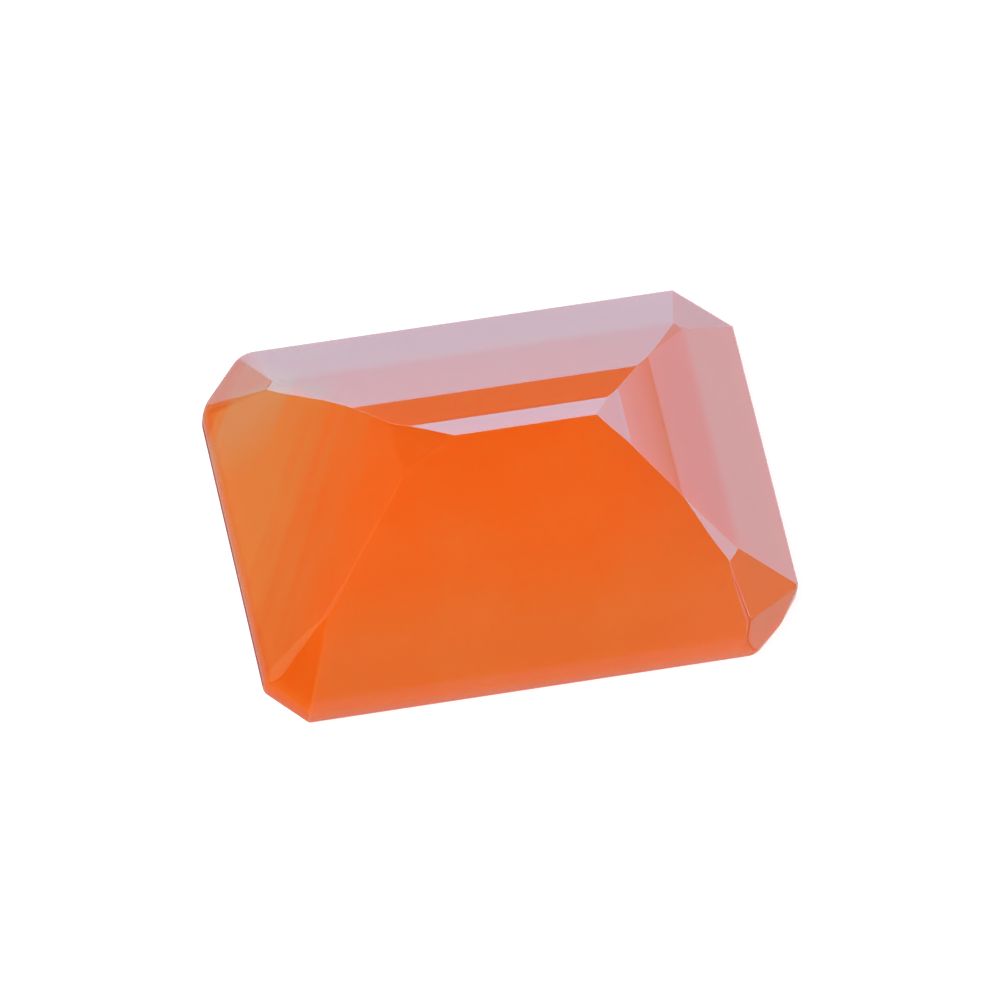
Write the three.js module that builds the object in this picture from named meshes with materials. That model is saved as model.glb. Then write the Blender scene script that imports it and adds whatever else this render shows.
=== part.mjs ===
// A carnelian cut as a rectangle with cut corners, its facets in steps, lying on its table.
// Millimetres, +Z up, the long side along X. Z = 0 is the table, the large flat facet it rests on.
// From the table up there are the crown, the girdle (the widest band), and the pavilion, whose
// steps close on a short ridge, the keel. The stone is one solid: every facet is a plane ground
// onto the rough, so the solid is what all the planes leave between them.
import * as THREE from 'three';
import { ConvexGeometry } from 'three/addons/geometries/ConvexGeometry.js';

// Outline at the girdle
const LENGTH = 16;
const WIDTH = 12;

// Heights of the two lower bands; the pavilion's own height follows from its slopes
const CROWN_HEIGHT = 1.7;
const GIRDLE_HEIGHT = 0.6;
const GIRDLE_TOP = CROWN_HEIGHT + GIRDLE_HEIGHT;

// Azimuths are degrees from +X, slopes are degrees from level. A pavilion's steps are listed from
// the girdle up, and a step gives way to the next one at the height above the girdle in breaks.
// The four sides differ a little, as they do on a stone cut by hand.
const SIDES = [
  { azimuth: 0, reach: LENGTH / 2, slopes: [43.5, 39.5, 34, 27.5], breaks: [1.75, 2.95, 3.9] },
  { azimuth: 90, reach: WIDTH / 2, slopes: [41, 37, 31, 22.3], breaks: [1.75, 3.3, 4.05] },
  { azimuth: 180, reach: LENGTH / 2, slopes: [45.5, 38.5, 34.5, 14.3], breaks: [1.75, 2.9, 3.9] },
  { azimuth: 270, reach: WIDTH / 2, slopes: [42.5, 35, 30, 26.4], breaks: [1.8, 3.25, 4.0] },
];

// A corner is cut off by alongX on the long side and by alongY on the short side. Its second
// facet runs up to a point on the ridge between the two sides. The near right corner's girdle
// swells out in the middle of its cut.
const FAR_RIGHT = { toX: 1, toY: 1, alongX: 1.5, alongY: 1.5, swell: 0, slopes: [43.5, 31.2], breaks: [1.78] };
const FAR_LEFT = { toX: -1, toY: 1, alongX: 1.5, alongY: 1.65, swell: 0, slopes: [48, 31.3], breaks: [1.7] };
const NEAR_LEFT = { toX: -1, toY: -1, alongX: 1.1, alongY: 1.2, swell: 0, slopes: [43, 30], breaks: [1.75] };
const NEAR_RIGHT = { toX: 1, toY: -1, alongX: 1.65, alongY: 1.75, swell: 0.14, slopes: [45, 31.5], breaks: [1.8] };
const CORNERS = [FAR_RIGHT, FAR_LEFT, NEAR_LEFT, NEAR_RIGHT];

// The crown has two steps, listed from the girdle down to the table
const CROWN_BREAKS = [0.9];
const CROWN_SIDE_SLOPES = [45, 34];
const CROWN_CORNER_SLOPES = [50, 39];

// The near right corner's rim is ground over in a facet of its own, which is narrow at the short
// side and widens towards the long side
const RIM_AZIMUTH = -48.5;
const RIM_SLOPE = 58;

// The far left corner is worn round at both ends of its cut, on the girdle and just above it:
// more at the end on the long side than at the end on the short side
const WORN_DEPTHS = [0.12, 0.07];
const WORN_SLOPES = [90, 62];

// Planes closer to parallel than this share no point, and a point this far past a plane is cut off
const TOLERANCE = 1e-7;
const SAME_POINT = 1e-4;

// The point at a distance from the stone's middle line, in the direction of an azimuth
function pointAt(azimuth, reach, height) {
  const angle = THREE.MathUtils.degToRad(azimuth);
  return new THREE.Vector3(reach * Math.cos(angle), reach * Math.sin(angle), height);
}

// The plane of a facet through a point. A slope past 90 degrees faces down.
function facet(azimuth, slope, point) {
  const angle = THREE.MathUtils.degToRad(slope);
  const outward = pointAt(azimuth, Math.sin(angle), Math.cos(angle));
  return new THREE.Plane().setFromNormalAndCoplanarPoint(outward, point);
}

// The facets of one side or corner, from the girdle's edge inwards. direction is 1 where they
// climb, on the pavilion, and -1 where they go down, on the crown.
function steps(azimuth, reach, slopes, breaks, start, direction) {
  let height = 0;
  let inset = reach;
  return slopes.map((slope, i) => {
    const tilted = direction > 0 ? slope : 180 - slope;
    const plane = facet(azimuth, tilted, pointAt(azimuth, inset, start + direction * height));
    if (i < breaks.length) {
      inset -= (breaks[i] - height) / Math.tan(THREE.MathUtils.degToRad(slope));
      height = breaks[i];
    }
    return plane;
  });
}

function sideFacets({ azimuth, reach, slopes, breaks }) {
  return [
    facet(azimuth, 90, pointAt(azimuth, reach, 0)),
    ...steps(azimuth, reach, slopes, breaks, GIRDLE_TOP, 1),
    ...steps(azimuth, reach, CROWN_SIDE_SLOPES, CROWN_BREAKS, CROWN_HEIGHT, -1),
  ];
}

// The two ends of a corner's cut at the girdle's top: on the long side, and on the short side
function cutEnds({ toX, toY, alongX, alongY }) {
  return [
    new THREE.Vector3(toX * (LENGTH / 2 - alongX), toY * WIDTH / 2, GIRDLE_TOP),
    new THREE.Vector3(toX * LENGTH / 2, toY * (WIDTH / 2 - alongY), GIRDLE_TOP),
  ];
}

// The azimuth that a corner's cut faces
function cutAzimuth({ toX, toY, alongX, alongY }) {
  return THREE.MathUtils.radToDeg(Math.atan2(toY * alongX, toX * alongY));
}

// The upright plane through two points of the girdle's outline
function upright(a, b) {
  const normal = new THREE.Vector3(b.y - a.y, a.x - b.x, 0).normalize();
  if (normal.dot(a) < 0) normal.negate();
  return new THREE.Plane().setFromNormalAndCoplanarPoint(normal, a);
}

// A corner's girdle is two upright planes, which are one where it doesn't swell
function cornerFacets(corner) {
  const azimuth = cutAzimuth(corner);
  const [onLong, onShort] = cutEnds(corner);
  const reach = pointAt(azimuth, 1, 0).dot(onLong);
  const middle = onLong.clone().lerp(onShort, 0.5).add(pointAt(azimuth, corner.swell, 0));
  return [
    upright(onLong, middle),
    upright(middle, onShort),
    ...steps(azimuth, reach, corner.slopes, corner.breaks, GIRDLE_TOP, 1),
    ...steps(azimuth, reach, CROWN_CORNER_SLOPES, CROWN_BREAKS, CROWN_HEIGHT, -1),
  ];
}

// The facet ground over a corner's rim, from the cut's end on the short side
function rimFacet(corner) {
  const [, onShort] = cutEnds(corner);
  return facet(RIM_AZIMUTH, RIM_SLOPE, onShort);
}

// The small facets that wear has rounded onto the two ends of a corner's cut
function wornFacets(corner) {
  const sideAzimuths = [90 * corner.toY, corner.toX > 0 ? 0 : 180];
  return cutEnds(corner).flatMap((end, i) => {
    const azimuth = (sideAzimuths[i] + cutAzimuth(corner)) / 2;
    const point = end.clone().sub(pointAt(azimuth, WORN_DEPTHS[i], 0));
    return WORN_SLOPES.map((slope) => facet(azimuth, slope, point));
  });
}

// The point that three planes share, or null where they share none
function meeting(a, b, c) {
  const cross = new THREE.Vector3().crossVectors(b.normal, c.normal);
  const spread = a.normal.dot(cross);
  if (Math.abs(spread) < TOLERANCE) return null;
  const point = cross.multiplyScalar(-a.constant);
  point.addScaledVector(new THREE.Vector3().crossVectors(c.normal, a.normal), -b.constant);
  point.addScaledVector(new THREE.Vector3().crossVectors(a.normal, b.normal), -c.constant);
  return point.divideScalar(spread);
}

// The solid between the planes: its corners are the meeting points that no plane cuts away
function solidBetween(planes) {
  const corners = [];
  for (let i = 0; i < planes.length; i += 1) {
    for (let j = i + 1; j < planes.length; j += 1) {
      for (let k = j + 1; k < planes.length; k += 1) {
        const point = meeting(planes[i], planes[j], planes[k]);
        const kept = point && planes.every((plane) => plane.distanceToPoint(point) < TOLERANCE);
        if (kept && !corners.some((corner) => corner.distanceTo(point) < SAME_POINT)) corners.push(point);
      }
    }
  }
  return new ConvexGeometry(corners);
}

const table = new THREE.Plane(new THREE.Vector3(0, 0, -1), 0);

const polished = new THREE.MeshStandardMaterial({ color: 0xee641d, roughness: 0.1, metalness: 0 });

const carnelian = new THREE.Mesh(
  solidBetween([
    table,
    ...SIDES.flatMap(sideFacets),
    ...CORNERS.flatMap(cornerFacets),
    ...wornFacets(FAR_LEFT),
    rimFacet(NEAR_RIGHT),
  ]),
  polished,
);
carnelian.name = 'carnelian';

const stone = new THREE.Group();
stone.add(carnelian);

export default stone;
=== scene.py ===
# %% [markdown]
# A step-cut carnelian, seen from its pavilion side.
#
# The stone lies on its table, the large flat facet, with the keel up. Step cutting grinds rows of
# long flat facets, each row at a lower slope than the one below it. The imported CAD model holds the
# same facets with perfectly sharp edges. Here the stone is made again with the small rounding that
# polishing leaves, and it gets its finish, a floor, lights and a camera.

import bmesh
import bpy
import numpy as np
from mathutils import Matrix, Vector


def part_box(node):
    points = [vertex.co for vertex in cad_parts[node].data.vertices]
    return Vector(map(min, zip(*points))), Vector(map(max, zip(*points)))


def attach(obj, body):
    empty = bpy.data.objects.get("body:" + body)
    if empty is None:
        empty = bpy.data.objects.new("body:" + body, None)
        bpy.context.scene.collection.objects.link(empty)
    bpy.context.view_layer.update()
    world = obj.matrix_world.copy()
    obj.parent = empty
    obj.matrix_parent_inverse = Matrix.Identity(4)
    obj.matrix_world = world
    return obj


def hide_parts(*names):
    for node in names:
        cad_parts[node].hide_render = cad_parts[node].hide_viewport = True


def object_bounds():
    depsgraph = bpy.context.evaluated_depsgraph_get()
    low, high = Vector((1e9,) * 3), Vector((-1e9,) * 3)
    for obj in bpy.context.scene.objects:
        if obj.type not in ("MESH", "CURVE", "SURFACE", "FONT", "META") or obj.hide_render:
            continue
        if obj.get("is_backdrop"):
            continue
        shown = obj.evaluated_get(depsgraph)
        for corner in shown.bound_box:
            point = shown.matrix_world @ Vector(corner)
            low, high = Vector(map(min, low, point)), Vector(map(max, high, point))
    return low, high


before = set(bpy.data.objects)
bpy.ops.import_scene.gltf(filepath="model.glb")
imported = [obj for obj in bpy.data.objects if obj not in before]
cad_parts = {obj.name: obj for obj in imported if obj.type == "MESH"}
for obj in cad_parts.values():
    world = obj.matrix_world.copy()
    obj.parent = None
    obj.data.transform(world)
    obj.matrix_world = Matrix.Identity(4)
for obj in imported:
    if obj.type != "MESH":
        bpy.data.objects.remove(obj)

MM = 0.001
CAD_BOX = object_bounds()
LOWEST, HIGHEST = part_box("carnelian")
LENGTH = HIGHEST.x - LOWEST.x
WIDTH = HIGHEST.y - LOWEST.y
print(f"the stone is {LENGTH / MM:.2f} x {WIDTH / MM:.2f} mm and {HIGHEST.z / MM:.2f} mm deep")

# %% [markdown]
# The camera comes first, because every later choice is judged through it.
#
# A stone this small is photographed with a long lens from far off, so its parallel edges stay almost
# parallel. The tilt, the direction and the roll were solved from the facets' edges, and the distance
# from how little those edges converge.

# %% The camera
IMAGE_SIDE = 1000
SENSOR = 36.0
GIRDLE_TOP = 2.3 * MM
CAMERA_TILT = 29.09
CAMERA_AZIMUTH = 248.97
CAMERA_ROLL = 10.08
CAMERA_DISTANCE = 387.5 * MM
PIXELS_PER_MM = 34.36
PIXELS_ABOVE_CENTRE = 1.1


def direction(azimuth, elevation):
    """The unit vector at an azimuth from +X and an elevation above the floor, in degrees."""
    turn, climb = np.broadcast_arrays(np.radians(azimuth), np.radians(elevation))
    return np.array([np.cos(climb) * np.cos(turn), np.cos(climb) * np.sin(turn), np.sin(climb)])


def add_camera():
    """A camera that looks at the middle of the girdle's top, turned about its own axis by the roll."""
    lens = bpy.data.cameras.new("camera")
    lens.sensor_width = SENSOR
    lens.lens = PIXELS_PER_MM * (CAMERA_DISTANCE / MM) / IMAGE_SIDE * SENSOR
    lens.shift_y = -PIXELS_ABOVE_CENTRE / IMAGE_SIDE
    camera = bpy.data.objects.new("camera", lens)
    bpy.context.scene.collection.objects.link(camera)
    away = Vector(direction(CAMERA_AZIMUTH, 90 - CAMERA_TILT))
    level = away.to_track_quat("Z", "Y").to_matrix()
    turned = level @ Matrix.Rotation(np.radians(CAMERA_ROLL), 3, "Z")
    place = Vector((0, 0, GIRDLE_TOP)) + away * CAMERA_DISTANCE
    camera.matrix_world = Matrix.Translation(place) @ turned.to_4x4()
    return camera


bpy.context.scene.camera = add_camera()
print(f"the lens is {bpy.context.scene.camera.data.lens:.0f} mm long")

# %% [markdown]
# The cut, as the cutter would note it down: a slope for each facet, and the height at which it gives
# way to the next one.
#
# The four sides differ by a few degrees, as they do on a stone cut by hand, and one corner swells and
# has a rim facet. The slopes and heights are the CAD part's, but for a few that were read off the
# photo more finely here. The right side's third step is two steps, one slightly steeper and one
# slightly flatter than the CAD's. The left side's top facet and the far left corner's two facets are
# up to two degrees flatter, and that corner's wear is a rounding instead of small facets.
#
# Slopes are in degrees. Breaks are heights above the girdle in mm. Each bend is half the height, in
# mm, over which one slope passes into the next, so a larger one is a softer edge. The left and the
# near side have the softest edges.

# %% The cut
CROWN_HEIGHT = 1.7 * MM
CROWN_BREAK = 0.9 * MM
CROWN_SIDE_SLOPES = (45, 34)
CROWN_CORNER_SLOPES = (50, 39)
CROWN_BEND = 0.04
GIRDLE_FOOT_BEND = 0.1
RIGHT = dict(
    azimuth=0, reach=LENGTH / 2, slopes=(43.5, 39.5, 35.4, 32.9, 27.5), breaks=(1.75, 3.02, 3.4, 3.9),
    girdle_bend=0.04, bends=(0.15, 0.06, 0.38, 0.06),
)
FAR = dict(
    azimuth=90, reach=WIDTH / 2, slopes=(41, 37, 31, 22.3), breaks=(1.75, 3.3, 4.05),
    girdle_bend=0.02, bends=(0.12, 0.03, 0.03),
)
LEFT = dict(
    azimuth=180, reach=LENGTH / 2, slopes=(45.5, 38.5, 34.5, 13), breaks=(1.75, 2.9, 3.96),
    girdle_bend=0.3, bends=(0.4, 0.4, 0.1),
)
NEAR = dict(
    azimuth=270, reach=WIDTH / 2, slopes=(42.5, 35, 30, 26.4), breaks=(1.8, 3.25, 4.0),
    girdle_bend=0.3, bends=(0.6, 0.5, 0.3),
)
SIDES = (RIGHT, FAR, LEFT, NEAR)
FAR_RIGHT = dict(
    to_x=1, to_y=1, along_x=1.5, along_y=1.5, swell=0, slopes=(43.5, 31.2), breaks=(1.78,),
    girdle_bend=0.02, bends=(0.05,),
)
FAR_LEFT = dict(
    to_x=-1, to_y=1, along_x=1.5, along_y=1.65, swell=0, slopes=(46.3, 31.2), breaks=(1.7,),
    girdle_bend=0.08, bends=(0.03,),
)
NEAR_LEFT = dict(
    to_x=-1, to_y=-1, along_x=1.1, along_y=1.2, swell=0, slopes=(43, 30), breaks=(1.75,),
    girdle_bend=0.3, bends=(0.1,),
)
NEAR_RIGHT = dict(
    to_x=1, to_y=-1, along_x=1.65, along_y=1.75, swell=0.14, slopes=(45, 31.5), breaks=(1.8,),
    girdle_bend=0.12, bends=(0.08,),
)
CORNERS = (FAR_RIGHT, FAR_LEFT, NEAR_LEFT, NEAR_RIGHT)
RIM_AZIMUTH = -48.5
RIM_SLOPE = 58

# The ridges' radii. For the ridges whose rounding starts between two azimuths: heights above the
# girdle in mm, and the radii there in mm. The two left corners are worn round near the girdle.
RIDGES = (
    ((0, 90), (0, 4.4), (0.008, 0.008)),
    ((90, 180), (0, 1.7, 4.4), (0.9, 0.008, 0.008)),
    ((180, 222), (0, 0.3, 1.75, 2.3, 4.3), (0.3, 0.7, 0.12, 0.04, 0.008)),
    ((222, 270), (0, 1.75, 2.3, 4.3), (0.14, 0.12, 0.04, 0.008)),
    ((270, 316), (0, 0.3, 1.0, 1.6, 1.8, 4.4), (0.6, 0.45, 0.35, 0.12, 0.008, 0.008)),
    ((316, 360), (0, 0.2, 4.4), (0.4, 0.008, 0.008)),
)
KEEL_HALF_WIDTH = 0.025 * MM


def rate(slope):
    """How far a facet of this slope reaches out for each metre down."""
    return 1 / np.tan(np.radians(slope))


def soft_ramp(t, half):
    """0 for t below -half, t above half, and between them the parabola that joins the two."""
    return np.where(t > half, t, np.clip(t + half, 0, 2 * half) ** 2 / (4 * half))


def bent_line(heights, start, rates, bends, halves):
    """The reach at each height: it starts at start on the floor and grows by the first rate, and at
    each bend the rate changes to the next one through a soft ramp."""
    ramps = soft_ramp(heights[:, None] - np.array(bends), np.array(halves))
    return start + rates[0] * heights + ramps @ np.diff(rates)


def stepped(cut, reach, crown_slopes, swell=0.0):
    """The start, rates, bends and half bends of a row of steps, from the table to the keel."""
    slopes, breaks = cut["slopes"], cut["breaks"]
    rates = [rate(crown_slopes[1]), rate(crown_slopes[0]), 0] + [-rate(slope) for slope in slopes]
    low = CROWN_HEIGHT + swell / rates[1]
    high = GIRDLE_TOP + swell / rates[3]
    first = CROWN_HEIGHT - CROWN_BREAK
    bends = [first, low, high] + [GIRDLE_TOP + height * MM for height in breaks]
    halves = [half * MM for half in (CROWN_BEND, GIRDLE_FOOT_BEND, cut["girdle_bend"], *cut["bends"])]
    return reach + swell - rates[0] * first - rates[1] * (low - first), rates, bends, halves


def cut_ends(corner):
    """The two ends of a corner's cut on the girdle: on the long side, then on the short side."""
    on_long = (corner["to_x"] * (LENGTH / 2 - corner["along_x"] * MM), corner["to_y"] * WIDTH / 2)
    on_short = (corner["to_x"] * LENGTH / 2, corner["to_y"] * (WIDTH / 2 - corner["along_y"] * MM))
    return np.array(on_long), np.array(on_short)


def facing(a, b):
    """The azimuth that the upright plane through two points of the outline faces."""
    normal = np.array([b[1] - a[1], a[0] - b[0]])
    normal *= np.sign(normal @ a)
    return np.degrees(np.arctan2(normal[1], normal[0]))


def reach_of(point, azimuth):
    """How far a point of the outline lies out in the direction of an azimuth."""
    return float(point @ direction(azimuth, 0)[:2])


def corner_lines(corner):
    """The directions in which a corner limits the outline: its cut, and the two halves of a swell."""
    on_long, on_short = cut_ends(corner)
    azimuth = facing(on_long, on_short)
    swell = corner["swell"] * MM
    reach = reach_of(on_long, azimuth)
    lines = [(azimuth, *stepped(corner, reach, CROWN_CORNER_SLOPES, swell))]
    if swell:
        middle = (on_long + on_short) / 2 + swell * direction(azimuth, 0)[:2]
        for end in (on_long, on_short):
            half = facing(end, middle)
            lines.append((half, reach_of(end, half), [0], [], []))
    return lines


def rim_line(corner):
    """The facet that is ground over a corner's rim, from the cut's end on the short side."""
    on_short = cut_ends(corner)[1]
    start = reach_of(on_short, RIM_AZIMUTH) + GIRDLE_TOP * rate(RIM_SLOPE)
    return RIM_AZIMUTH, start, [-rate(RIM_SLOPE)], [], []


def all_lines():
    """Each direction that limits the outline: its azimuth, and what bent_line needs for its reach."""
    for side in SIDES:
        yield side["azimuth"], *stepped(side, side["reach"], CROWN_SIDE_SLOPES)
    for corner in CORNERS:
        yield from corner_lines(corner)
    yield rim_line(NEAR_RIGHT)


LINES = sorted(all_lines(), key=lambda line: line[0] % 360)
AZIMUTHS = np.array([line[0] % 360 for line in LINES])
GAPS = np.diff(AZIMUTHS, append=AZIMUTHS[0] + 360)
print(f"{len(LINES)} directions limit the stone's outline, at {np.round(AZIMUTHS, 1)} degrees")

# %% [markdown]
# The stone as a surface of two parameters: the height, and the way round.
#
# A polished stone could be a sharp solid with a Bevel modifier. But some of its facets end in points
# and hair-thin slivers, and a bevel stumbles over those. So the rounding is put in the formula. At
# one height the outline is a polygon, the area that all directions' reaches leave. It is drawn in by
# the ridge radius and swelled out again by a circle, which rounds its corners and nothing else.

# %% The stone's rings
RING_STEP = 0.05 * MM
RINGS_AT_BEND = 9
RINGS_AT_TABLE = 7
RINGS_AT_KEEL = 6
TABLE_DROP = 0.04 * MM
ARC_POINTS = 11
EDGE_GUARD = 0.015 * MM
ROOM_SHARE = 0.4
PARALLEL = 1e-6
TOUCHING = 1e-9
NOTHING = 1e-12
CUT_OFF = -1


def outline_corners(reach):
    """The corner between each direction and the next, on every ring. Of the points where two lines
    cross and no third line cuts them off, it is the one furthest out along the bisector."""
    normals = direction(AZIMUTHS, 0)[:2].T
    bisectors = direction(AZIMUTHS + GAPS / 2, 0)[:2].T
    i, j = np.triu_indices(len(normals), 1)
    cross = normals[i, 0] * normals[j, 1] - normals[i, 1] * normals[j, 0]
    apart = np.abs(cross) > PARALLEL
    i, j, cross = i[apart], j[apart], cross[apart]
    x = (reach[:, i] * normals[j, 1] - reach[:, j] * normals[i, 1]) / cross
    y = (reach[:, j] * normals[i, 0] - reach[:, i] * normals[j, 0]) / cross
    points = np.stack([x, y], axis=-1)
    past = (points @ normals.T - reach[:, None, :]).max(axis=-1)
    score = np.where(past[..., None] < TOUCHING, points @ bisectors.T, CUT_OFF)
    best = score.argmax(axis=1)
    return np.take_along_axis(points, best[..., None], axis=1)


def ridge_radii(heights, room):
    """The radius at each height of the arc that leads from each direction to the next one. Close to
    the keel it is a share of the room that is left there at most."""
    above = (heights - GIRDLE_TOP) / MM
    radii = []
    for azimuth in AZIMUTHS:
        known, values = next(ridge[1:] for ridge in RIDGES if ridge[0][0] <= azimuth < ridge[0][1])
        radii.append(np.minimum(np.interp(above, known, values) * MM, room))
    return np.stack(radii, axis=-1)


def ring_outlines(heights):
    """Points round the stone on every ring: an arc at each corner, and one point close to each end of
    the straight stretch that follows it, which keeps the facets flat under smooth shading."""
    reach = np.stack([bent_line(heights, *line[1:]) for line in LINES], axis=-1)
    far, near = np.searchsorted(AZIMUTHS, (90, 270))
    radius = ridge_radii(heights, ROOM_SHARE * np.maximum(reach[:, far] + reach[:, near], 0))
    corners = np.stack([
        outline_corners(reach - radius[:, [gap]])[:, gap] for gap in range(len(GAPS))
    ], axis=1)
    turn = AZIMUTHS[:, None] + GAPS[:, None] * np.linspace(0, 1, ARC_POINTS)
    circle = np.moveaxis(direction(turn, 0)[:2], 0, -1)
    arcs = corners[:, :, None, :] + radius[:, :, None, None] * circle
    start = arcs[:, :, -1]
    stretch = np.roll(arcs[:, :, 0], -1, axis=1) - start
    length = np.linalg.norm(stretch, axis=-1, keepdims=True)
    guard = np.minimum(EDGE_GUARD / np.maximum(length, NOTHING), 1 / 3)
    guards = np.stack([start + guard * stretch, start + (1 - guard) * stretch], axis=2)
    return np.concatenate([arcs, guards], axis=2).reshape(len(heights), -1, 2)


def keel_height():
    """Where the far and the near side's top facets meet: the height at which their reaches add to 0."""
    top = np.array([HIGHEST.z, HIGHEST.z - RING_STEP])
    width = sum(bent_line(top, *line[1:]) for line in LINES if line[0] in (90, 270))
    return top[0] + RING_STEP * width[0] / (width[1] - width[0])


KEEL = keel_height()
KEEL_DROP = KEEL_HALF_WIDTH * 2 / (rate(FAR["slopes"][-1]) + rate(NEAR["slopes"][-1]))


def ring_heights():
    """The heights of the sharp stone's rings: evenly spaced ones, and closer ones at every bend."""
    bends = np.array([bend for line in LINES for bend in line[3]])
    halves = np.array([half for line in LINES for half in line[4]])
    at_bends = bends[:, None] + halves[:, None] * np.linspace(-1, 1, RINGS_AT_BEND)
    at_table = TABLE_DROP * np.linspace(-1, 1, RINGS_AT_TABLE)
    at_keel = KEEL - KEEL_DROP * np.linspace(0, 1, RINGS_AT_KEEL)
    evenly = np.arange(RING_STEP, KEEL - 2 * KEEL_DROP, RING_STEP)
    return np.unique(np.round(np.concatenate([evenly, at_bends.ravel(), at_table, at_keel]), 9))


def polished_heights(sharp):
    """The rings of the sharp stone, lowered at the keel and raised at the table's edge by parabolas,
    so that both edges come out round."""
    below_keel = KEEL - sharp
    rounded = KEEL - (below_keel ** 2 + KEEL_DROP ** 2) / (2 * KEEL_DROP)
    return np.where(below_keel < KEEL_DROP, rounded, soft_ramp(sharp, TABLE_DROP))


def stone_points():
    """The points of all rings: sharp heights give the outlines, polished ones where they lie."""
    sharp = ring_heights()
    outlines = ring_outlines(np.minimum(sharp, KEEL))
    heights = np.broadcast_to(polished_heights(sharp)[:, None, None], outlines.shape[:2] + (1,))
    return np.concatenate([outlines, heights], axis=-1)


points = stone_points()
print(f"{points.shape[0]} rings of {points.shape[1]} points")

# %% [markdown]
# The rings become one closed skin. Quads join each ring to the next one, one large face fills the
# first ring, which is the table, and the last ring is so narrow that it is the keel itself.
#
# Points that fall together are merged, because a face without area has no direction and would show as
# a black speck. Smooth shading then lets the narrow rounded strips blend from facet to facet, while
# the guard points keep the facets themselves flat.

# %% The stone's mesh
SAME_POINT = 0.0002 * MM


def ring_mesh(name, points):
    """A closed mesh of rings, its first ring filled by one face and its last one drawn together."""
    rings, around = points.shape[:2]
    index = np.arange(rings * around).reshape(rings, around)
    beside = np.roll(index, -1, axis=1)
    quads = np.stack([index[:-1], beside[:-1], beside[1:], index[1:]], axis=-1).reshape(-1, 4)
    mesh = bpy.data.meshes.new(name)
    mesh.from_pydata(points.reshape(-1, 3), [], quads.tolist() + [index[0, ::-1].tolist()])
    shell = bmesh.new()
    shell.from_mesh(mesh)
    bmesh.ops.remove_doubles(shell, verts=shell.verts, dist=SAME_POINT)
    bmesh.ops.dissolve_degenerate(shell, edges=shell.edges, dist=SAME_POINT)
    open_edges = sum(not edge.is_manifold for edge in shell.edges)
    volume = shell.calc_volume(signed=True)
    shell.to_mesh(mesh)
    shell.free()
    mesh.shade_smooth()
    print(f"{name}: {len(mesh.polygons)} faces, {open_edges} open edges, {volume / MM ** 3:.0f} cubic mm")
    return mesh


stone = bpy.data.objects.new("polished_stone", ring_mesh("polished_stone", points))
bpy.context.scene.collection.objects.link(stone)
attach(stone, "root")
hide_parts("carnelian")

# %% [markdown]
# Colours are noted as sRGB hex codes, as they are read off a screen, and a renderer adds up linear
# light, so one function turns the first into the second. A second one adds a node of any kind and
# joins its inputs, which keeps a material's recipe short enough to read.

# %% Colours and nodes


def linear(code):
    """An sRGB hex colour turned to linear light, with full alpha."""
    channels = np.array([int(code[i:i + 2], 16) for i in (1, 3, 5)]) / 255
    light = np.where(channels > 0.04045, ((channels + 0.055) / 1.055) ** 2.4, channels / 12.92)
    return (*light.tolist(), 1.0)


print(f"mid grey, #808080, is {linear('#808080')[0]:.2f} in linear light")


def add_node(tree, kind, inputs=None, **settings):
    """Adds a node, with its settings, and its inputs as values or as sockets to link."""
    node = tree.nodes.new(kind)
    for name, value in settings.items():
        setattr(node, name, value)
    for name, value in (inputs or {}).items():
        if isinstance(value, bpy.types.NodeSocket):
            tree.links.new(value, node.inputs[name])
        else:
            node.inputs[name].default_value = value
    return node


# %% [markdown]
# Carnelian is chalcedony, a quartz so fine in its grain that light scatters inside it. Iron oxide
# makes it orange. Where there is less iron, bands of milky, paler stone show.
#
# It could be clear glass around a scattering volume, which is close to the real stone but slow and
# grainy. The photo shows nothing through the facets, only an even glow under a sharp polish, so a
# Principled shader with subsurface scattering is enough. Red light travels furthest in it, so the
# shaded facets stay warm. Quartz has an index of refraction of 1.54, and a polish this good leaves
# hardly any roughness. The bands are a ramp across the stone. A coarse noise lets them drift, and a
# fine one, stretched along them, frays them into streaks. They are strongest at the far left corner
# and run out towards the middle. All of it lies in the stone's own coordinates, in millimetres.

# %% Polished chalcedony
# The first two oranges are painted light and painted shade: the stone is painted brighter towards the
# keel and darker near the girdle.
PAINTED_LIGHT_ORANGE = "#F76511"
PAINTED_SHADE_ORANGE = "#E7600D"
RED_ORANGE = "#EA6524"
HONEY = "#E77A35"
MILKY = "#DF8955"
POLISH_ROUGHNESS = 0.05
QUARTZ_IOR = 1.54
SCATTERING = dict(weight=0.8, radius=(1.0, 0.4, 0.15), scale=1.0)

# Places are in mm, strengths between 0 and 1. The next line holds two heights: the painted light's, at
# the keel, and the painted shade's, at the girdle. RED is a stretch along X.
PAINTED_LIGHT_HEIGHT, PAINTED_SHADE_HEIGHT = 6.0, 2.4
RED = (1.5, 6.5)
BAND_TURN = 29.7
BAND_SQUEEZE = 1.151
STREAK_SIZE = (0.45, 6, 4)
STREAK_FRAY = 3.8
DRIFT_SIZE = 3
DRIFT_REACH = 0.8
CLOUD_SIZE = 2.5
CLOUD_EDGES = (0.42, 0.75)
CLOUD_STRENGTH = 0.16

# The bands run out where X + Y passes from the second of these places to the first, down to a rest.
# From some milkiness on, the stone is all honey, and from another on it turns milky. That happens
# sooner towards the far side, where the milk stops short of the girdle.
BANDS_END = (-0.5, -2.0)
BANDS_REST = 0.25
ALL_HONEY = 0.65
FIRST_MILK = 0.5
FAR_PART = (1.0, 4.0)
NEAR_MILK, MORE_FAR_MILK = 0.45, 0.65
MILK_STOPS = (4.6, 3.8)

# How milky the stone is, at these places in mm across the bands
MILKINESS = (
    (-10.2, 0.3), (-9.5, 0.6), (-8.8, 1.0), (-7.9, 0.95),
    (-7.1, 0.75), (-6.2, 0.5), (-5.2, 0.22), (-3.9, 0.0),
)


# A Mix node's colour sockets share their names with its other sockets, so they are taken by number
MIX_A, MIX_B, MIX_RESULT = 6, 7, 2


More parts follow.
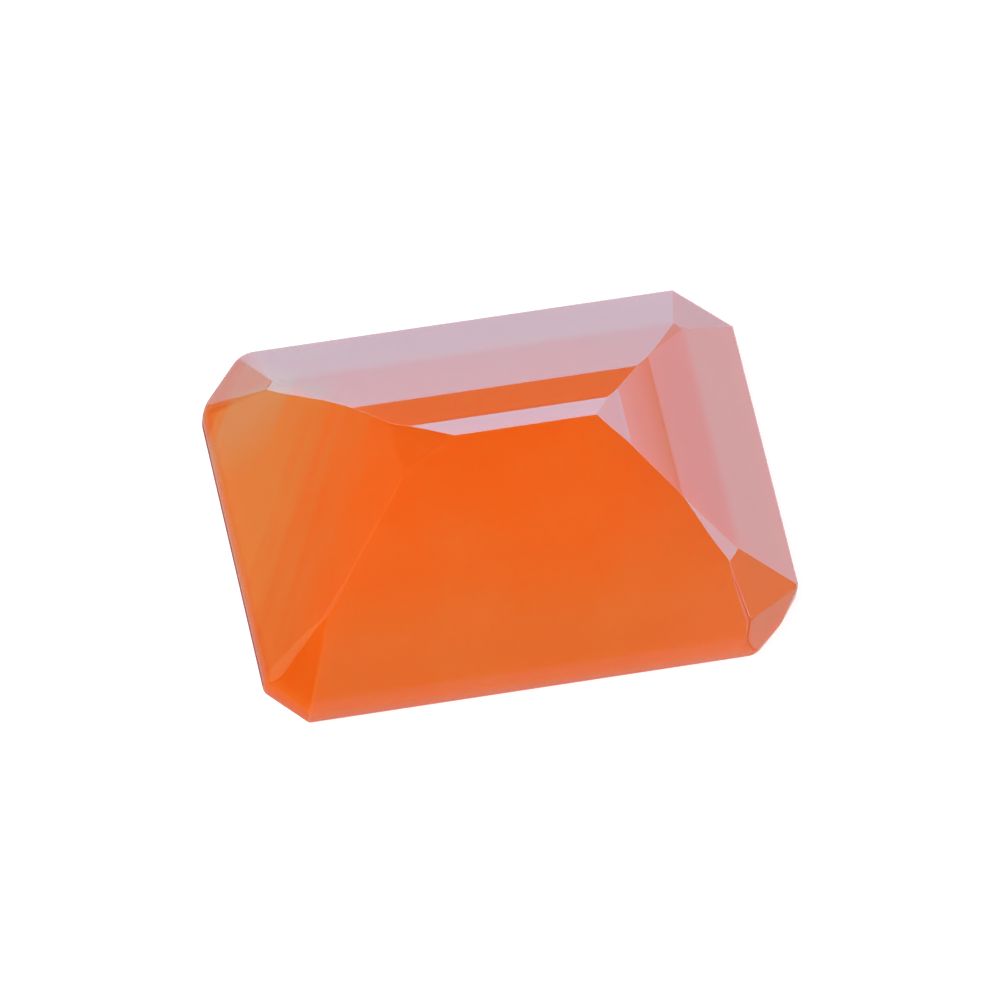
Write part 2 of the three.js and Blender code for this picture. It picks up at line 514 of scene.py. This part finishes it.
def polished_chalcedony():
    """An orange that glows a little, painted lighter towards the keel and darker near the girdle as
    painted light and shade, with frayed milky bands, under a clear wet-looking gloss.
    """
    material = bpy.data.materials.new("polished_chalcedony")
    material.use_nodes = True
    tree = material.node_tree
    tree.nodes.clear()
    place = add_node(tree, "ShaderNodeTexCoord").outputs["Object"]
    axes = add_node(tree, "ShaderNodeSeparateXYZ", {"Vector": place}).outputs

    def join(socket, value):
        if isinstance(value, bpy.types.NodeSocket):
            tree.links.new(value, socket)
        else:
            socket.default_value = value

    def between(value, start, end, unit=1, kind="SMOOTHSTEP"):
        return add_node(tree, "ShaderNodeMapRange", {
            "Value": value, "From Min": start * unit, "From Max": end * unit,
        }, interpolation_type=kind).outputs["Result"]

    def calculate(operation, *values):
        node = add_node(tree, "ShaderNodeMath", operation=operation)
        for socket, value in zip(node.inputs, values):
            join(socket, value)
        return node.outputs[0]

    def mix(factor, a, b):
        node = add_node(tree, "ShaderNodeMix", {"Factor": factor}, data_type="RGBA")
        join(node.inputs[MIX_A], a)
        join(node.inputs[MIX_B], linear(b))
        return node.outputs[MIX_RESULT]

    # the plain stone: painted light, a brighter orange towards the keel, and painted shade, a darker one
    # near the girdle; redder at the right end
    body = mix(between(axes["Z"], PAINTED_LIGHT_HEIGHT, PAINTED_SHADE_HEIGHT, MM), linear(PAINTED_LIGHT_ORANGE), PAINTED_SHADE_ORANGE)
    body = mix(between(axes["X"], *RED, MM), body, RED_ORANGE)

    # the bands' own axes, and how far the two noises push them
    turned = add_node(tree, "ShaderNodeMapping", {
        "Vector": place, "Rotation": (0, 0, np.radians(BAND_TURN)),
    }).outputs["Vector"]
    streaks = add_node(tree, "ShaderNodeMapping", {
        "Vector": turned, "Scale": [1 / (size * MM) for size in STREAK_SIZE],
    }).outputs["Vector"]
    fine = add_node(tree, "ShaderNodeTexNoise", {"Vector": streaks, "Scale": 1.0, "Detail": 2.0})
    coarse = add_node(tree, "ShaderNodeTexNoise", {
        "Vector": place, "Scale": 1 / (DRIFT_SIZE * MM), "Detail": 1.0,
    })
    push = calculate("MULTIPLY_ADD", fine.outputs["Fac"], STREAK_FRAY * MM, -STREAK_FRAY / 2 * MM)
    push = calculate("MULTIPLY_ADD", coarse.outputs["Fac"], DRIFT_REACH * MM, push)
    across = add_node(tree, "ShaderNodeSeparateXYZ", {"Vector": turned}).outputs["X"]
    pushed = calculate("MULTIPLY_ADD", across, BAND_SQUEEZE, push)

    # the bands
    first, last = MILKINESS[0][0], MILKINESS[-1][0]
    ramp = add_node(tree, "ShaderNodeValToRGB", {
        "Fac": between(pushed, first, last, MM, "LINEAR"),
    })
    elements = ramp.color_ramp.elements
    while len(elements) < len(MILKINESS):
        elements.new(0.5)
    for element, (where, value) in zip(elements, MILKINESS):
        element.position = (where - first) / (last - first)
        element.color = (value, value, value, 1)
    ramp.color_ramp.interpolation = "EASE"
    to_far_right = calculate("ADD", axes["X"], axes["Y"])
    kept = between(to_far_right, *BANDS_END, MM)
    kept = calculate("MULTIPLY_ADD", kept, 1 - BANDS_REST, BANDS_REST)
    milky = calculate("MULTIPLY", ramp.outputs["Color"], kept)

    # faint clouds in the plain stone, then the bands' honey, and the palest milk by the far left corner
    clouds = add_node(tree, "ShaderNodeTexNoise", {
        "Vector": turned, "Scale": 1 / (CLOUD_SIZE * MM), "Detail": 3.0,
    }).outputs["Fac"]
    body = mix(calculate("MULTIPLY", between(clouds, *CLOUD_EDGES), CLOUD_STRENGTH), body, HONEY)
    body = mix(between(milky, 0, ALL_HONEY, kind="LINEAR"), body, HONEY)
    to_far = calculate("MULTIPLY_ADD", between(axes["Y"], *FAR_PART, MM), MORE_FAR_MILK, NEAR_MILK)
    short_of_rim = calculate("MULTIPLY", to_far, between(axes["Y"], *MILK_STOPS, MM))
    palest = calculate("MULTIPLY", milky, short_of_rim)
    body = mix(between(palest, FIRST_MILK, 1, kind="LINEAR"), body, MILKY)

    shader = add_node(tree, "ShaderNodeBsdfPrincipled", {
        "Base Color": body,
        "Roughness": POLISH_ROUGHNESS,
        "IOR": QUARTZ_IOR,
        "Subsurface Weight": SCATTERING["weight"],
        "Subsurface Radius": SCATTERING["radius"],
        "Subsurface Scale": SCATTERING["scale"] * MM,
    })
    add_node(tree, "ShaderNodeOutputMaterial", {"Surface": shader.outputs["BSDF"]})
    return material


stone.data.materials.append(polished_chalcedony())
print(f"the milky bands run {90 - BAND_TURN:.1f} degrees off the long side")

# %% [markdown]
# The stone lies on white paper, lit so brightly that the photo shows no shadow on it.
#
# A plain diffuse floor would need a second lamp to reach that white. So the paper gives off the light
# that is missing. That light also enters the stone from below, as it does from any white sheet. The
# polish doesn't mirror the floor, because what the facets mirror is set by the panels further on.

# %% The floor
FLOOR_SIDE = 0.8
FLOOR_GAP = 0.02 * MM
PAPER = "#959595"
PAPER_GLOW = 0.9
PAPER_ROUGHNESS = 0.9


def pale_paper():
    """White paper, matt and without any gloss, which fades into the white of the picture."""
    material = bpy.data.materials.new("pale_paper")
    material.use_nodes = True
    shader = material.node_tree.nodes["Principled BSDF"]
    shader.inputs["Base Color"].default_value = linear(PAPER)
    shader.inputs["Roughness"].default_value = PAPER_ROUGHNESS
    shader.inputs["Specular IOR Level"].default_value = 0.0
    shader.inputs["Emission Color"].default_value = (1, 1, 1, 1)
    shader.inputs["Emission Strength"].default_value = PAPER_GLOW
    return material


def add_floor():
    half = FLOOR_SIDE / 2
    corners = [(-half, -half), (half, -half), (half, half), (-half, half)]
    mesh = bpy.data.meshes.new("floor")
    mesh.from_pydata([(x, y, -FLOOR_GAP) for x, y in corners], [], [(0, 1, 2, 3)])
    mesh.materials.append(pale_paper())
    floor = bpy.data.objects.new("floor", mesh)
    bpy.context.scene.collection.objects.link(floor)
    floor.visible_glossy = False
    floor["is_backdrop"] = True


add_floor()
print(f"the floor is {FLOOR_SIDE} m wide")

# %% [markdown]
# A polished facet is a flat mirror: under the camera's angle it shows one small patch of the room, and
# no other facet shows the same one. That is why neighbours of the same stone look pink, grey or deep
# orange.
#
# In the studio those patches are softboxes, windows and the walls between them. They could be as many
# area lamps, but lamps also light the body and throw shadows. So the mirrored room is one dome that
# only the polish sees. Its panels have a rise and a fall in azimuth and in elevation, in degrees, and
# a strength for each of red, green and blue. Where a ridge is round, its mirror image sweeps over a
# panel's edge, which gives the crisp light and dark wedges beside the left corners. Far below, the
# dome is the paper that the stone lies on. The body gets its light from one large softbox on the near
# left, and from a little light all around.

# %% The lights
DOME_RADIUS = 0.3
DOME_STEP = 1.0
KEY_WATTS = 2.05
LIGHT_ALL_AROUND = 0.18

# The angles where a panel starts, is full, is full until, and is gone. 900 is past every angle, so a
# panel that has it goes on without an end.
ALL = (-900, -899, 899, 900)
PANELS = (
    ("high behind", (56.5, 59.5, 97, 103), (11.5, 14.5, 44, 50), (0.4, 5.7, 8.2)),
    ("high left", (97, 103, 112.5, 115.5), (3, 8, 44, 50), (0.9, 4.9, 7.0)),
    ("high right", (-4.5, -1.5, 56.5, 59.5), (11.5, 14.5, 26, 32), (0.5, 5.1, 7.2)),
    ("high near right", (-29.5, -26.5, -4.5, -1.5), (14.5, 17.5, 37, 42), (0.1, 5.9, 8.2)),
    ("warm", (66.5, 69.5, 97, 103), (-5.5, -2.5, 11.5, 14.5), (1.9, 0.78, 0.4)),
    ("behind", (66.5, 69.5, 97, 103), (-18, -12, -6, -2), (1.05, 2.6, 3.5)),
    ("low behind", (66.5, 69.5, 97, 103), (-37, -30, -18, -12), (1.0, 2.35, 3.1)),
    ("left behind", (97, 103, 121, 124), (-37, -30, -6, -2), (0.45, 1.65, 2.1)),
    ("left dim", (121, 124, 132, 138), (-62, -50, 5, 20), (0.1, 0.5, 0.4)),
    ("right behind low", (42, 46, 65, 69), (-37, -30, -14, -10), (1.15, 1.65, 2.1)),
    ("right behind", (42, 46, 65, 69), (-14, -10, 6, 10), (1.65, 1.95, 2.2)),
    ("right low", (3.5, 6.5, 42, 46), (-37, -30, -5.5, -2.5), (1.9, 2.95, 3.65)),
    ("right", (3.5, 6.5, 42, 46), (-5.5, -2.5, 11.5, 14.5), (2.3, 1.8, 1.8)),
    ("right level", (3.5, 6.5, 42, 46), (-5.5, -2.5, -0.5, 2.5), (0.0, 0.93, 1.7)),
    ("right above", (3.5, 6.5, 42, 46), (5.5, 12, 12.5, 14.5), (0.0, 1.2, 1.9)),
    ("near right low", (-42, -38, 3.5, 6.5), (-37, -30, -2, 2), (0.8, 2.1, 2.05)),
    ("near right", (-32, -28, 3.5, 6.5), (3, 7, 14.5, 17.5), (1.9, 1.55, 0.9)),
    ("near right edge", (-54, -48, -38, -34), (8, 16, 34, 46), (0.3, 1.6, 2.0)),
    ("left", (144, 150, 202, 204.5), (-12, 4, 8, 50), (0.2, 0.8, 0.35)),
    ("left foot", (98, 104, 150, 160), (-900, -899, -40, -20), (0.0, 0.0, 0.15)),
    ("left corner", (156, 166, 202.5, 204.5), (6, 16, 58, 75), (0.2, 0.8, 0.5)),
    ("left low", (110, 130, 225, 240), (-76, -68, -24, 2), (0.0, 0.6, 0.6)),
    ("near", (-153, -147, -48, -42), (-110, -20, 18, 62), (0.0, 1.2, 0.45)),
    ("near level", (-150, -140, -48, -42), (-76, -68, 8, 38), (0.15, 0.2, 0.7)),
    ("sky", ALL, (20, 40, 899, 900), (0.0, 0.26, 0.12)),
    ("paper behind", (-44, -36, 92, 100), (-900, -899, -37, -30), (0.75, 0.85, 0.95)),
    ("paper in front", (92, 100, 316, 324), (-900, -899, -76, -68), (0.75, 0.85, 0.95)),
)


def fade(angle, starts, full, until, gone):
    """0 up to starts, 1 from full on, 1 until until and 0 from gone on, with smooth steps between."""
    rise = np.clip((angle - starts) / (full - starts), 0, 1)
    fall = np.clip((gone - angle) / (gone - until), 0, 1)
    return rise * rise * (3 - 2 * rise) * fall * fall * (3 - 2 * fall)


def dome_light(turn, climb):
    """What the polish mirrors in each direction: the sum of the panels."""
    light = np.zeros(turn.shape + (3,))
    for _, azimuths, elevations, colour in PANELS:
        middle = sum(azimuths) / 4
        nearest = middle + (turn - middle + 180) % 360 - 180
        panel = fade(nearest, *azimuths) * fade(climb, *elevations)
        light += panel[..., None] * np.array(colour)
    return light


def add_dome():
    """The dome around the stone. Each of its points holds the light that comes from there."""
    round_it = np.arange(0, 360 + DOME_STEP, DOME_STEP)
    up_it = np.arange(-90, 90 + DOME_STEP, DOME_STEP)
    turn, climb = np.meshgrid(round_it, up_it, indexing="ij")
    places = np.moveaxis(direction(turn, climb), 0, -1) * DOME_RADIUS
    index = np.arange(turn.size).reshape(turn.shape)
    quads = np.stack([index[:-1, :-1], index[1:, :-1], index[1:, 1:], index[:-1, 1:]], axis=-1)
    mesh = bpy.data.meshes.new("dome")
    mesh.from_pydata(places.reshape(-1, 3), [], quads.reshape(-1, 4).tolist())
    light = mesh.attributes.new("light", "FLOAT_VECTOR", "POINT")
    light.data.foreach_set("vector", dome_light(turn, climb).ravel())
    material = bpy.data.materials.new("panel_light")
    material.use_nodes = True
    tree = material.node_tree
    tree.nodes.clear()
    colour = add_node(tree, "ShaderNodeAttribute", attribute_name="light").outputs["Vector"]
    glow = add_node(tree, "ShaderNodeEmission", {"Color": colour, "Strength": 1.0}).outputs["Emission"]
    add_node(tree, "ShaderNodeOutputMaterial", {"Surface": glow})
    mesh.materials.append(material)
    dome = bpy.data.objects.new("dome", mesh)
    bpy.context.scene.collection.objects.link(dome)
    dome.visible_camera = False
    dome.visible_diffuse = False
    dome.visible_transmission = False
    dome.visible_volume_scatter = False
    dome.visible_shadow = False
    dome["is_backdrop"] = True


def add_softbox(name, azimuth, elevation, distance, size, watts):
    """A round lamp that faces the stone. The polish doesn't mirror it."""
    lamp = bpy.data.lights.new(name, "AREA")
    lamp.shape = "DISK"
    lamp.size = size
    lamp.energy = watts
    softbox = bpy.data.objects.new(name, lamp)
    bpy.context.scene.collection.objects.link(softbox)
    away = Vector(direction(azimuth, elevation))
    facing_stone = away.to_track_quat("Z", "Y").to_matrix().to_4x4()
    softbox.matrix_world = Matrix.Translation(away * distance) @ facing_stone
    softbox.visible_glossy = False
    softbox.visible_camera = False


def add_world(radiance):
    """An even light from all around, which the polish doesn't mirror either."""
    world = bpy.data.worlds.new("studio")
    bpy.context.scene.world = world
    world.use_nodes = True
    background = world.node_tree.nodes["Background"]
    background.inputs["Color"].default_value = (1, 1, 1, 1)
    background.inputs["Strength"].default_value = radiance
    world.cycles_visibility.glossy = False


add_world(LIGHT_ALL_AROUND)
add_dome()
add_softbox("key", azimuth=225, elevation=62, distance=0.5, size=0.2, watts=KEY_WATTS)
print(f"{len(PANELS)} panels in the dome, and a key light of {KEY_WATTS} W")

# %% [markdown]
# Blender's usual view transform takes the strength out of bright colours, as film does. A product photo
# of a vivid stone keeps it, so the plain Standard transform is the nearer one, at its normal exposure.

# %% The render's tones
bpy.context.scene.view_settings.view_transform = "Standard"
print("view transform:", bpy.context.scene.view_settings.view_transform)

# %% [markdown]
# Last, the outer sizes of the CAD part and of the polished stone are written down next to each other.
# The polished one can only be smaller, because rounding an edge takes something off it.

# %% The sizes
VISUAL_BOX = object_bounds()
for name, box in (("cad", CAD_BOX), ("visual", VISUAL_BOX)):
    print(name, [round((high - low) / MM, 3) for low, high in zip(*box)], "mm")
